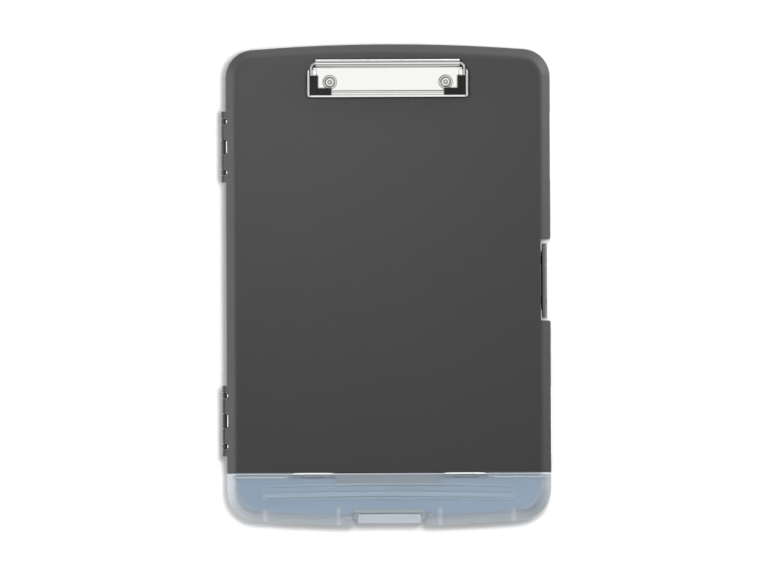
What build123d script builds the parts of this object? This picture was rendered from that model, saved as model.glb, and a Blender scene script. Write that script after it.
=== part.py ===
from build123d import *
import os
from math import cos, pi, sin, sqrt

# Slim storage clipboard, lying flat with its writing lid upwards. All sizes are in millimetres.
# X runs to the right of the writing surface, Y runs up to the paper clip, Z stands out of the lid.
# The origin is the middle of the underside. The case opens like a book about its left edge, and a
# frosted pen compartment with its own cover closes the lower end.

# ---- Case ---------------------------------------------------------------------------------------
CASE_WIDTH = 241.2
CASE_LENGTH = 358.4
CASE_HEIGHT = 27.0
BASE_HEIGHT = 17.5
END_RADIUS = 1294.0
TOP_CORNER = 20.8
BOTTOM_CORNER = 24.5
WALL = 2.2
PANEL = 2.2
BEVEL_WIDTH = 6.9
BEVEL_DROP = 5.6
BEVEL_CREASE_ROUND = 6.0
BEVEL_RIM_ROUND = 2.0
UNDER_BEVEL = 3.0
PARTING_GAP = 0.15

# ---- Locating rim inside the lid ----------------------------------------------------------------
RIM_THICKNESS = 1.2
RIM_DEPTH = 2.2
RIM_ROOT = 2.0
RIM_CLEARANCE = 0.4
RIM_FROM_SEAM = 8.0

# ---- Pen compartment ----------------------------------------------------------------------------
PEN_LENGTH = 39.8
PEN_WALL = 1.8
SEAM_GAP = 0.5
TRAY_GAP = 0.1
SEAM_EDGE_ROUND = 1.0
SKIRT_LIFT = 0.8

# ---- Lid hinges ---------------------------------------------------------------------------------
LID_HINGE_OFFSET = 1.7
LID_BARREL_RADIUS = 1.6
LID_PIN_RADIUS = 0.7
LID_HINGE_FROM_TOP = 76.0
LID_HINGE_FROM_SEAM = 38.6
LID_KNUCKLES = (("lid", 5.4), ("base", 4.3), ("lid", 11.3), ("base", 11.0),
                ("lid", 11.3), ("base", 4.3), ("lid", 5.4))
KNUCKLE_GAP = 0.3
BARREL_CLEARANCE = 0.35
SHUT_OFF_OUTER = 0.6
SHUT_OFF_INNER = 0.8
SHUT_OFF_LEDGE = 0.7
SHUT_OFF_DEPTH = 6.0
SHUT_OFF_END = 0.8
BASE_GUSSET_FALL = 8.0
LID_GUSSET_RISE = 3.5
RUNNING_CLEARANCE = 0.05
FIXED_CLEARANCE = 0.01

# ---- Side latch ---------------------------------------------------------------------------------
SIDE_NOTCH_DEPTH = 7.2
SIDE_NOTCH_Y = (-26.8, 33.5)
SIDE_NOTCH_MOUTH_ROUND = 1.5
SIDE_LATCH_Y = (-24.9, 30.5)
SIDE_LATCH_GAP = 0.8
SIDE_LATCH_THICKNESS = 2.0
SIDE_LATCH_HEAD = 3.3
SIDE_LATCH_HEAD_HEIGHT = 5.6
SIDE_LATCH_DROP = 0.8
SIDE_LATCH_ROUND = 1.5
SIDE_LATCH_TAPER = (0.6, 1.5)
SIDE_PIN_END_GAP = 0.5
SIDE_PIVOT_HEIGHT = 4.6
SIDE_PIVOT_RADIUS = 1.9
SIDE_PIN_RADIUS = 0.8
SIDE_KNUCKLE_LENGTH = 6.0
SIDE_KNUCKLE_SPREAD = 30.0

# ---- Latch noses, shared by both latches --------------------------------------------------------
NOSE_CLEARANCE = 0.12
NOSE_HEIGHT = 1.6
NOSE_POCKET_DEPTH = 1.0
NOSE_POCKET_HEIGHT = 2.8
NOSE_POCKET_BELOW_TOP = 6.2
NOSE_INSET = 6.0
NOSE_TAPER = 0.3

# ---- Cover hinge of the pen compartment ---------------------------------------------------------
COVER_HINGE_X = (40.0, 73.3)
COVER_BARREL_RADIUS = 1.7
COVER_PIN_RADIUS = 0.7
COVER_AXIS_INSET = 3.1
COVER_KNUCKLE_LENGTH = 8.6
COVER_WINDOW_DEPTH = 4.4
TRAY_WINDOW_DEPTH = 2.0
COVER_BARREL_CLEARANCE = 0.2
COVER_PIN_END_GAP = 0.2

# ---- Tab latch of the pen compartment -----------------------------------------------------------
TAB_NOTCH_WIDTH = 53.6
TAB_WIDTH = 46.6
TAB_COVER_NOTCH = 9.8
TAB_TRAY_NOTCH = 5.9
TAB_SETBACK = 2.1
TAB_THICKNESS = 1.8
TAB_PIVOT_RADIUS = 2.1
TAB_PIN_RADIUS = 0.8
TAB_PIVOT_DROP = 2.8
TAB_PIVOT_GAP = 0.5
TAB_FOOT_HEIGHT = 5.0
TAB_LEDGE_HEIGHT = 11.0
TAB_LEDGE_THICKNESS = 2.0
TAB_LEDGE_GAP = 0.25
TAB_EAR_LENGTH = 5.2
TAB_SHOULDER_DROP = 0.8
TAB_SHOULDER_ROUND = 0.8
TAB_NOSE_INSET = 4.0
TAB_NOSE_LIP = 0.8
TAB_NOSE_BITE = 0.25
TAB_LEDGE_INSET = 2.0
TAB_PIN_END_GAP = 0.1

# ---- Relief and ribs of the pen cover -----------------------------------------------------------
# The relief is a low arched panel. Inside it run three grooves, and the strip between the last two
# stands a little higher. Distances are taken from the seam, in the middle of the cover.
RELIEF_PANEL = (8.5, 20.4)
RELIEF_STRIP = (14.7, 17.9)
RELIEF_GROOVES = (10.2, 14.2, 18.4)
RELIEF_PANEL_RISE = 0.4
RELIEF_STRIP_RISE = 0.7
RELIEF_GROOVE_WIDTH = 0.9
RELIEF_GROOVE_DEPTH = 0.4
RELIEF_HALF_LENGTH = 94.5
RELIEF_GROOVE_END = 2.8
RELIEF_RADIUS = 3270.0
RELIEF_CORNER_ROUND = 2.0
RELIEF_EDGE_ROUND = 0.3
BEAD_FROM_SEAM = 3.4
BEAD_WIDTH = 1.8
BEAD_RISE = 0.5
BEAD_EDGE_ROUND = 0.4
BEAD_FROM_MIDDLE = 75.5
BEAD_FROM_EDGE = 4.2
GATE_FROM_SEAM = 7.1
GATE_RADIUS = 0.9
GATE_RISE = 0.25
COVER_RIB_X = (37.8, 92.5)
COVER_RIB_THICKNESS = 1.2
COVER_RIB_LENGTH = 10.0
COVER_RIB_DEPTH = 5.0

# ---- Tongue that joins the pen tray to the case -------------------------------------------------
TONGUE_HALF_WIDTH = 39.7
TONGUE_LENGTH = 7.6
TONGUE_THICKNESS = 2.6
TONGUE_GAP = 0.15
TONGUE_BARB = (1.2, 0.8)

# ---- Paper clip ---------------------------------------------------------------------------------
CLIP_WIDTH = 120.0
CLIP_TOP_FROM_CASE_END = 11.0
BARREL_LENGTH = 107.2
BARREL_DIAMETER = 6.3
CLIP_SHEET = 0.8
CLIP_PLATE_HALF = 52.9
CLIP_SHOULDER_HALF = 55.3
CLIP_SHOULDER_LENGTH = 5.0
CLIP_PLATE_REACH = 20.4
CLIP_REACH = 25.1
BARREL_SEAM = 0.5
ROD_RADIUS = 0.8
ROD_BEND = 3.4
ROD_ARM_X = 57.0
JAW_RAIL_WIDTH = 2.1
JAW_RAIL_HEIGHT = 3.8
JAW_RAIL_TOP_FROM_ROD = 4.6
JAW_BAR_WIDTH = 4.5
JAW_LIP_GAP = 0.05
JAW_ARM_INNER = 53.2
JAW_CORNER_ROUND = 2.0
JAW_RAIL_ROUND = 0.95
JAW_RAIL_LIFT = 0.1
JAW_LIP_RISE = 0.6
JAW_RIDGE_RISE = 0.5
JAW_RIDGE_WIDTH = 1.0
SHEET_EDGE_ROUND = 0.25
GRIP_WIDTH = 6.0
GRIP_HEIGHT = 14.4
GRIP_WIRE_GAP = 0.1
GRIP_FOOT = 15.9
GRIP_FOOT_WIDTH = 5.9
GRIP_RISE = 1.2
GRIP_UNDER = 0.3
GRIP_EDGE_ROUND = 0.5
GRIP_GROOVES = (1.7, 3.4)
GRIP_GROOVE_WIDTH = 0.5
GRIP_GROOVE_DEPTH = 0.4
SPRING_COIL_RADIUS = 1.45
SPRING_WIRE_RADIUS = 0.3
SPRING_PITCH = 1.1
SPRING_TURNS = 5
SPRING_CENTRE = 36.0
RIVET_SPACING = 86.2
RIVET_FROM_ROD = 13.95
RIVET_HEAD_RADIUS = 3.5
RIVET_HEAD_RISE = 1.0
RIVET_HEAD_ROUND = 0.8
RIVET_DISH_DEPTH = 0.45
RIVET_FOOT_THICKNESS = 0.8
RIVET_FOOT_RADIUS = 3.2
RIVET_SHANK_RADIUS = 2.3
RIVET_BORE_RADIUS = 1.7
DIMPLE_RADIUS = 5.0
DIMPLE_RISE = 0.25
WASHER_RADIUS = 5.0
WASHER_THICKNESS = 0.8

# ---- Places worked out from the sizes above -----------------------------------------------------
EDGE_X = CASE_WIDTH / 2
END_Y = CASE_LENGTH / 2
SEAM_Y = -END_Y + PEN_LENGTH
LID_BOTTOM = BASE_HEIGHT + PARTING_GAP
BEVEL_BASE = CASE_HEIGHT - BEVEL_DROP
LID_AXIS_X = -EDGE_X - LID_HINGE_OFFSET
LID_HINGE_CENTRES = {"upper": END_Y - LID_HINGE_FROM_TOP, "lower": SEAM_Y + LID_HINGE_FROM_SEAM}
NOTCH_X = EDGE_X - SIDE_NOTCH_DEPTH
SIDE_AXIS_X = NOTCH_X + SIDE_LATCH_GAP + SIDE_PIVOT_RADIUS
COVER_EDGE_Y = SEAM_Y - SEAM_GAP
COVER_AXIS_Y = SEAM_Y - COVER_AXIS_INSET
COVER_AXIS_Z = CASE_HEIGHT - COVER_BARREL_RADIUS
TRAY_EDGE_Y = SEAM_Y - TRAY_GAP
TONGUE_FLOOR = PEN_WALL + TONGUE_GAP
TONGUE_TOP = TONGUE_FLOOR + TONGUE_THICKNESS
TAB_COVER_WALL_Y = -END_Y + TAB_COVER_NOTCH
TAB_TRAY_WALL_Y = -END_Y + TAB_TRAY_NOTCH
TAB_AXIS_Y = TAB_COVER_WALL_Y - TAB_PIVOT_GAP - TAB_PIVOT_RADIUS
TAB_AXIS_Z = CASE_HEIGHT - TAB_PIVOT_DROP
TAB_FACE_Y = -END_Y + TAB_SETBACK
ROD_Y = END_Y - CLIP_TOP_FROM_CASE_END - BARREL_DIAMETER / 2
ROD_Z = CASE_HEIGHT + BARREL_DIAMETER / 2
RIVET_X = RIVET_SPACING / 2
RIVET_Y = ROD_Y - RIVET_FROM_ROD
RIVET_SEAT = CASE_HEIGHT + CLIP_SHEET + DIMPLE_RISE
JAW_FRONT_Y = ROD_Y - CLIP_REACH
GRIP_FRONT_Y = JAW_FRONT_Y + 2 * CLIP_SHEET
GRIP_END_Y = GRIP_FRONT_Y + GRIP_HEIGHT
WEB_TOP = ROD_Z - ROD_RADIUS
WEB_BOTTOM = WEB_TOP - CLIP_SHEET

# ---- Lengths that only help the modelling -------------------------------------------------------
FAR = 2 * CASE_LENGTH
BIT = 0.1
CLOSE = 1e-3
COIL_POINTS_PER_TURN = 24


# ---- Small helpers ------------------------------------------------------------------------------
def block(x, y, z):
    """Box between two values on each axis."""
    size = Box(x[1] - x[0], y[1] - y[0], z[1] - z[0], align=(Align.MIN, Align.MIN, Align.MIN))
    return Pos(x[0], y[0], z[0]) * size


def rod_along_y(x, z, y, radius):
    """Cylinder along Y between two values of y."""
    middle = Pos(x, (y[0] + y[1]) / 2, z) * Rot(90, 0, 0)
    return middle * Cylinder(radius, y[1] - y[0])


def rod_along_x(y, z, x, radius):
    """Cylinder along X between two values of x."""
    middle = Pos((x[0] + x[1]) / 2, y, z) * Rot(0, 90, 0)
    return middle * Cylinder(radius, x[1] - x[0])


def disc_stack(x, y, z, radius):
    """Upright cylinder between two heights."""
    return Pos(x, y, (z[0] + z[1]) / 2) * Cylinder(radius, z[1] - z[0])


def prism_along_y(points, y):
    """Closed outline in X and Z, drawn out along Y."""
    face = make_face(Polyline(*[(px, y[0], pz) for px, pz in points], close=True))
    return extrude(face, amount=y[1] - y[0], dir=(0, 1, 0))


def prism_along_x(points, x):
    """Closed outline in Y and Z, drawn out along X."""
    face = make_face(Polyline(*[(x[0], py, pz) for py, pz in points], close=True))
    return extrude(face, amount=x[1] - x[0], dir=(1, 0, 0))


def widened(span, amount):
    """Span with both ends moved outwards."""
    return (span[0] - amount, span[1] + amount)


def span_between(first, second):
    """Span from the lower of two values to the higher."""
    return (min(first, second), max(first, second))


def edges_at(solid, axis, test):
    """Edges along one axis whose middle passes a test."""
    return solid.edges().filter_by(axis).filter_by(lambda edge: test(edge.center()))


def beyond(y, up):
    """Half space above or below a value of y, as a very large box."""
    return block((-FAR, FAR), (y, FAR) if up else (-FAR, y), (-FAR, FAR))


# ---- Forms of the whole case --------------------------------------------------------------------
def case_outline(inset):
    """Plan outline of the whole case, moved inwards by inset: straight sides and gently arched ends."""
    sides = Rectangle(CASE_WIDTH - 2 * inset, 2 * CASE_LENGTH)
    upper = Pos(0, END_Y - END_RADIUS) * Circle(END_RADIUS - inset)
    lower = Pos(0, END_RADIUS - END_Y) * Circle(END_RADIUS - inset)
    plan = sides & upper & lower
    plan = fillet(plan.vertices().filter_by(lambda v: v.Y > 0), TOP_CORNER - inset)
    lower_corners = plan.vertices().filter_by(
        lambda v: abs(v.X) > EDGE_X - inset - 1 and v.Y < -END_Y + BOTTOM_CORNER / 2 + inset)
    return fillet(lower_corners, BOTTOM_CORNER - inset)


def upper_form(inset, floor, roof, crease, rim):
    """Upper half of the case as a solid: upright rim, then a bevel up to the flat top."""
    bevel_base = BEVEL_BASE - inset / 2
    flat_inset = BEVEL_WIDTH + inset / 2
    low, high = Pos(0, 0, bevel_base), Pos(0, 0, roof)
    form = extrude(Pos(0, 0, floor) * case_outline(inset), amount=bevel_base - floor)
    form += loft([low * case_outline(inset), high * case_outline(flat_inset)], ruled=True)
    if crease > 0:
        form = fillet(form.edges().filter_by(lambda e: abs(e.center().Z - roof) < CLOSE), crease)
    if rim > 0:
        form = fillet(form.edges().filter_by(lambda e: abs(e.bounding_box().min.Z - bevel_base) < CLOSE
                                             and e.bounding_box().size.Z < CLOSE), rim)
    return form


def lower_form(inset, floor, roof):
    """Lower half of the case as a solid, with a small bevel round the underside."""
    bevel_top = UNDER_BEVEL + floor
    low, high = Pos(0, 0, floor), Pos(0, 0, bevel_top)
    bevel = loft([low * case_outline(inset + UNDER_BEVEL), high * case_outline(inset)], ruled=True)
    return bevel + extrude(high * case_outline(inset), amount=roof - bevel_top)


def side_notch(grow):
    """Recess of the side latch, through the full height, grown by a wall where the hollow goes round it."""
    return block((NOTCH_X - grow, FAR), widened(SIDE_NOTCH_Y, grow), (-FAR, FAR))


def side_notch_mouth():
    """The two slivers cut away to round the outer corners of the side recess."""
    mouth = None
    for y, outwards in zip(SIDE_NOTCH_Y, (-1, 1)):
        span = span_between(y - outwards, y + outwards * SIDE_NOTCH_MOUTH_ROUND)
        centre = Pos(EDGE_X - SIDE_NOTCH_MOUTH_ROUND, y + outwards * SIDE_NOTCH_MOUTH_ROUND, 0)
        sliver = block((EDGE_X - SIDE_NOTCH_MOUTH_ROUND, EDGE_X + 1), span, (-1, CASE_HEIGHT + 1))
        sliver -= centre * Cylinder(SIDE_NOTCH_MOUTH_ROUND, 4 * CASE_HEIGHT)
        mouth = sliver if mouth is None else mouth + sliver
    return mouth


# ---- Hinge between the shells -------------------------------------------------------------------
def knuckle_spans(centre, owner):
    """Y spans of the hinge knuckles that belong to one shell."""
    place = centre - sum(length for _, length in LID_KNUCKLES) / 2
    spans = []
    for name, length in LID_KNUCKLES:
        if name == owner:
            spans.append((place + KNUCKLE_GAP / 2, place + length - KNUCKLE_GAP / 2))
        place += length
    return spans


def base_knuckle(span):
    """Barrel on a leg that runs down the outside of the lower shell."""
    left = LID_AXIS_X - LID_BARREL_RADIUS
    root = -EDGE_X + WALL / 2
    foot = BASE_HEIGHT - BASE_GUSSET_FALL
    leg = [(left, BASE_HEIGHT), (left, BASE_HEIGHT - LID_BARREL_RADIUS), (-EDGE_X, foot), (root, foot),
           (root, BASE_HEIGHT)]
    return prism_along_y(leg, span) + rod_along_y(LID_AXIS_X, BASE_HEIGHT, span, LID_BARREL_RADIUS)


def lid_knuckle(span):
    """Barrel on a short strap that comes out of the lid's rim."""
    root = -EDGE_X + WALL / 2
    top = BASE_HEIGHT + LID_GUSSET_RISE
    strap = [(LID_AXIS_X, LID_BOTTOM), (LID_AXIS_X, BASE_HEIGHT + LID_BARREL_RADIUS), (-EDGE_X, top),
             (root, top), (root, LID_BOTTOM)]
    return prism_along_y(strap, span) + rod_along_y(LID_AXIS_X, BASE_HEIGHT, span, LID_BARREL_RADIUS)


def shut_off(span):
    """Slot between a barrel of the lower shell and its wall: see-through inside, a ledge outside."""
    slot = widened(span, -SHUT_OFF_END)
    outer_x = -EDGE_X - SHUT_OFF_OUTER
    inner_x = -EDGE_X + SHUT_OFF_INNER
    ledge = block((outer_x, inner_x), slot, (BASE_HEIGHT - SHUT_OFF_DEPTH, FAR))
    return ledge + block((outer_x + SHUT_OFF_LEDGE, inner_x), slot, (-1, FAR))


def make_lid_pin(centre):
    """Steel pin through all the knuckles of one lid hinge."""
    half = sum(length for _, length in LID_KNUCKLES) / 2 - KNUCKLE_GAP
    return rod_along_y(LID_AXIS_X, BASE_HEIGHT, (centre - half, centre + half), LID_PIN_RADIUS)


# ---- Case shells --------------------------------------------------------------------------------
def tray_tongue():
    """Tongue low on the lower shell's end wall, with a barb that holds the pen tray."""
    x = (-TONGUE_HALF_WIDTH, TONGUE_HALF_WIDTH)
    barb_y = TRAY_EDGE_Y - PEN_WALL - TONGUE_GAP
    tongue = block(x, (SEAM_Y - TONGUE_LENGTH, SEAM_Y + WALL / 2), (TONGUE_FLOOR, TONGUE_TOP))
    return tongue + block(x, (barb_y - TONGUE_BARB[0], barb_y), (TONGUE_FLOOR, TONGUE_TOP + TONGUE_BARB[1]))


def make_base_shell():
    """Lower shell with its half of the lid hinges, the latch knuckles and the tongue for the pen tray."""
    outer = lower_form(0, 0, BASE_HEIGHT) & beyond(SEAM_Y, True)
    hollow = lower_form(WALL, PANEL, BASE_HEIGHT + 1) & beyond(SEAM_Y + WALL, True)
    shell = outer - side_notch(0) - side_notch_mouth() - (hollow - side_notch(WALL))
    shell += tray_tongue()
    for centre in LID_HINGE_CENTRES.values():
        for span in knuckle_spans(centre, "lid"):
            shell -= rod_along_y(LID_AXIS_X, BASE_HEIGHT, widened(span, KNUCKLE_GAP),
                                 LID_BARREL_RADIUS + BARREL_CLEARANCE)
        for span in knuckle_spans(centre, "base"):
            shell += base_knuckle(span)
            shell -= shut_off(span)
            shell -= rod_along_y(LID_AXIS_X, BASE_HEIGHT, widened(span, 1), LID_PIN_RADIUS + FIXED_CLEARANCE)
    for span in side_knuckle_spans():
        arm = block((NOTCH_X - WALL / 2, SIDE_AXIS_X), span,
                    (SIDE_PIVOT_HEIGHT - SIDE_PIVOT_RADIUS, SIDE_PIVOT_HEIGHT + SIDE_PIVOT_RADIUS))
        arm += rod_along_y(SIDE_AXIS_X, SIDE_PIVOT_HEIGHT, span, SIDE_PIVOT_RADIUS)
        shell += arm - rod_along_y(SIDE_AXIS_X, SIDE_PIVOT_HEIGHT, widened(span, 1),
                                   SIDE_PIN_RADIUS + FIXED_CLEARANCE)
    return shell


def locating_rim():
    """Thin rim inside the lid that drops behind the lower shell's wall and keeps the two in line."""
    outer = WALL + RIM_CLEARANCE
    inner = outer + RIM_THICKNESS
    floor, roof = LID_BOTTOM - RIM_DEPTH, LID_BOTTOM + RIM_ROOT
    rim = extrude(Pos(0, 0, floor) * case_outline(outer), amount=roof - floor)
    rim += extrude(Pos(0, 0, LID_BOTTOM) * case_outline(WALL - BIT), amount=RIM_ROOT)
    rim -= extrude(Pos(0, 0, floor - 1) * case_outline(inner), amount=roof - floor + 2)
    return (rim - side_notch(inner)) & beyond(SEAM_Y + RIM_FROM_SEAM, True)


def make_lid_shell():
    """Upper shell: flat writing panel, bevelled edge, hinge knuckles and the pocket that the side latch holds."""
    outer = upper_form(0, LID_BOTTOM, CASE_HEIGHT, BEVEL_CREASE_ROUND, BEVEL_RIM_ROUND) & beyond(SEAM_Y, True)
    hollow = upper_form(WALL, LID_BOTTOM - 1, CASE_HEIGHT - PANEL, 0, 0) & beyond(SEAM_Y + WALL, True)
    shell = outer - side_notch(0) - side_notch_mouth() - (hollow - side_notch(WALL))
    shell += locating_rim()
    pocket_top = CASE_HEIGHT - NOSE_POCKET_BELOW_TOP + NOSE_POCKET_HEIGHT / 2
    shell -= block((NOTCH_X - NOSE_POCKET_DEPTH, NOTCH_X + 1), widened(SIDE_LATCH_Y, 1 - NOSE_INSET),
                   (pocket_top - NOSE_POCKET_HEIGHT, pocket_top))
    for centre in LID_HINGE_CENTRES.values():
        for span in knuckle_spans(centre, "base"):
            shell -= block((-FAR, -EDGE_X + SHUT_OFF_INNER), widened(span, KNUCKLE_GAP), (-1, FAR))
        for span in knuckle_spans(centre, "lid"):
            shell += lid_knuckle(span)
            shell -= rod_along_y(LID_AXIS_X, BASE_HEIGHT, widened(span, 1), LID_PIN_RADIUS + RUNNING_CLEARANCE)
    for side in (-1, 1):
        shell -= disc_stack(side * RIVET_X, RIVET_Y, (CASE_HEIGHT - 2 * PANEL, CASE_HEIGHT + 1),
                            RIVET_SHANK_RADIUS + FIXED_CLEARANCE)
    return shell


# ---- Side latch ---------------------------------------------------------------------------------
def side_knuckle_spans():
    """Two knuckles of the lower shell that carry the side latch."""
    middle = (SIDE_LATCH_Y[0] + SIDE_LATCH_Y[1]) / 2
    centres = (middle - SIDE_KNUCKLE_SPREAD / 2, middle + SIDE_KNUCKLE_SPREAD / 2)
    return [(c - SIDE_KNUCKLE_LENGTH / 2, c + SIDE_KNUCKLE_LENGTH / 2) for c in centres]


def side_latch_nose(root):
    """Ridge on the latch that snaps into the lid's pocket."""
    middle = CASE_HEIGHT - NOSE_POCKET_BELOW_TOP
    tip = NOTCH_X + NOSE_CLEARANCE
    low, high = middle - NOSE_HEIGHT / 2, middle + NOSE_HEIGHT / 2
    outline = [(root, low), (tip, low + NOSE_TAPER), (tip, middle), (root, high)]
    return prism_along_y(outline, widened(SIDE_LATCH_Y, -NOSE_INSET))


def make_side_latch():
    """Upright lever: barrel at the foot, thin plate, rounded head with an inward nose."""
    inner = SIDE_AXIS_X - SIDE_LATCH_THICKNESS / 2
    outer = SIDE_AXIS_X + SIDE_LATCH_THICKNESS / 2
    top = CASE_HEIGHT - SIDE_LATCH_DROP
    head_floor = top - SIDE_LATCH_HEAD_HEIGHT
    head_inner = NOTCH_X + SIDE_LATCH_GAP
    head_outer = head_inner + SIDE_LATCH_HEAD
    plate = [(inner, SIDE_PIVOT_HEIGHT), (outer, SIDE_PIVOT_HEIGHT), (outer, head_floor),
             (head_outer, head_floor + SIDE_LATCH_TAPER[1]), (head_outer, top), (head_inner, top),
             (head_inner, head_floor + SIDE_LATCH_TAPER[0]), (inner, head_floor)]
    lever = prism_along_y(plate, SIDE_LATCH_Y)
    lever = fillet(edges_at(lever, Axis.Y, lambda c: c.Z > top - CLOSE), SIDE_LATCH_ROUND)
    lever += side_latch_nose(head_inner + 1)
    lever += rod_along_y(SIDE_AXIS_X, SIDE_PIVOT_HEIGHT, SIDE_LATCH_Y, SIDE_PIVOT_RADIUS)
    gap = SIDE_PIVOT_RADIUS + BARREL_CLEARANCE
    for span in side_knuckle_spans():
        lever -= block((SIDE_AXIS_X - 2 * gap, SIDE_AXIS_X + 2 * gap), widened(span, KNUCKLE_GAP),
                       (SIDE_PIVOT_HEIGHT - gap, SIDE_PIVOT_HEIGHT + gap))
    return lever - rod_along_y(SIDE_AXIS_X, SIDE_PIVOT_HEIGHT, widened(SIDE_LATCH_Y, 1),
                               SIDE_PIN_RADIUS + RUNNING_CLEARANCE)


def make_side_latch_pin():
    """Steel pin through the side latch and its two knuckles."""
    return rod_along_y(SIDE_AXIS_X, SIDE_PIVOT_HEIGHT, widened(SIDE_LATCH_Y, -SIDE_PIN_END_GAP), SIDE_PIN_RADIUS)


# ---- Pen compartment ----------------------------------------------------------------------------
def cover_hinge_spans(side):
    """X spans of one cover hinge: (whole window, two cover knuckles, tray knuckle)."""
    low, high = COVER_HINGE_X
    near = (low + KNUCKLE_GAP, low + COVER_KNUCKLE_LENGTH)
    far = (high - COVER_KNUCKLE_LENGTH, high - KNUCKLE_GAP)
    tray = (near[1] + KNUCKLE_GAP, far[0] - KNUCKLE_GAP)
    spans = [(low, high), near, far, tray]
    if side < 0:
        spans = [(-b, -a) for a, b in spans]
    return spans[0], spans[1:3], spans[3]


def tab_notch(wall_y, grow):
    """Recess of the tab latch in the front of the pen compartment."""
    half = TAB_NOTCH_WIDTH / 2 + grow
    return block((-half, half), (-FAR, wall_y + grow), (-FAR, FAR))


def tab_inner_face():
    """Back of the tab's leaf."""
    return TAB_FACE_Y + TAB_THICKNESS


def tab_ledge_face():
    """Front of the tray's ledge, which the tab's nose hooks under."""
    return tab_inner_face() + TAB_LEDGE_GAP + NOSE_CLEARANCE + TAB_NOSE_BITE


def make_pen_tray():
    """Frosted tray: hollow, notched for the tab latch, with posts that carry the cover's hinge pins."""
    window_y = TRAY_EDGE_Y - TRAY_WINDOW_DEPTH
    outer = lower_form(0, 0, BASE_HEIGHT) & beyond(TRAY_EDGE_Y, False)
    hollow = lower_form(PEN_WALL, PEN_WALL, BASE_HEIGHT + 1) & beyond(TRAY_EDGE_Y - PEN_WALL, False)
    hollow -= tab_notch(TAB_TRAY_WALL_Y, PEN_WALL)
    for side in (-1, 1):
        window, _, _ = cover_hinge_spans(side)
        outer -= block(window, (window_y, FAR), (-1, FAR))
        hollow -= block(widened(window, PEN_WALL), (window_y - PEN_WALL, FAR), (-1, FAR))
    tray = outer - tab_notch(TAB_TRAY_WALL_Y, 0) - hollow
    half = TONGUE_HALF_WIDTH + TONGUE_GAP
    tray -= block((-half, half), (SEAM_Y - TONGUE_LENGTH - TONGUE_GAP, FAR),
                  (TONGUE_FLOOR - TONGUE_GAP, TONGUE_TOP + TONGUE_BARB[1] + TONGUE_GAP))
    ledge_half = TAB_WIDTH / 2 - TAB_LEDGE_INSET
    tray += block((-ledge_half, ledge_half), (tab_ledge_face(), TAB_TRAY_WALL_Y + PEN_WALL / 2),
                  (TAB_LEDGE_HEIGHT, TAB_LEDGE_HEIGHT + TAB_LEDGE_THICKNESS))
    for side in (-1, 1):
        _, _, post = cover_hinge_spans(side)
        tray += block(post, (window_y - PEN_WALL, window_y), (PEN_WALL, COVER_AXIS_Z))
        tray += rod_along_x(COVER_AXIS_Y, COVER_AXIS_Z, post, COVER_BARREL_RADIUS)
        tray -= rod_along_x(COVER_AXIS_Y, COVER_AXIS_Z, widened(post, 1), COVER_PIN_RADIUS + FIXED_CLEARANCE)
    return tray


def relief_strip(near, far, half_length):
    """Plan of an arched strip on the cover between two distances from the seam."""
    plan = Pos(0, SEAM_Y - near - RELIEF_RADIUS) * Circle(RELIEF_RADIUS)
    plan -= Pos(0, SEAM_Y - far - RELIEF_RADIUS) * Circle(RELIEF_RADIUS)
    return plan & (Pos(0, SEAM_Y - (near + far) / 2) * Rectangle(2 * half_length, COVER_RIB_X[1]))


def raised(plan, rise, edge_round):
    """Plan raised out of the cover's top, with a softened upper edge."""
    relief = extrude(Pos(0, 0, CASE_HEIGHT - PEN_WALL / 2) * plan, amount=PEN_WALL / 2 + rise)
    return fillet(relief.faces().sort_by(Axis.Z)[-1].edges(), edge_round)


def cover_relief():
    """Raised panel with its higher strip, less the three grooves."""
    panel_plan = relief_strip(*RELIEF_PANEL, RELIEF_HALF_LENGTH)
    relief = raised(fillet(panel_plan.vertices(), RELIEF_CORNER_ROUND), RELIEF_PANEL_RISE, RELIEF_EDGE_ROUND)
    groove_half = RELIEF_HALF_LENGTH - RELIEF_GROOVE_END
    relief += raised(relief_strip(*RELIEF_STRIP, groove_half), RELIEF_STRIP_RISE, RELIEF_EDGE_ROUND)
    groove_floor = Pos(0, 0, CASE_HEIGHT + RELIEF_PANEL_RISE - RELIEF_GROOVE_DEPTH)
    for middle in RELIEF_GROOVES:
        span = widened((middle, middle), RELIEF_GROOVE_WIDTH / 2)
        relief -= extrude(groove_floor * relief_strip(*span, groove_half), amount=PEN_WALL)
    return relief


def cover_beads():
    """Two raised beads beside the hinges, and the stub of the moulding gate in the middle."""
    beads = []
    for side in (-1, 1):
        middle = side * (BEAD_FROM_MIDDLE + EDGE_X - BEAD_FROM_EDGE) / 2
        length = EDGE_X - BEAD_FROM_EDGE - BEAD_FROM_MIDDLE
        beads.append(raised(Pos(middle, SEAM_Y - BEAD_FROM_SEAM) * SlotOverall(length, BEAD_WIDTH),
                            BEAD_RISE, BEAD_EDGE_ROUND))
    gate = raised(Pos(0, SEAM_Y - GATE_FROM_SEAM) * Circle(GATE_RADIUS), GATE_RISE, GATE_RISE / 2)
    return beads + [gate]


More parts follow.
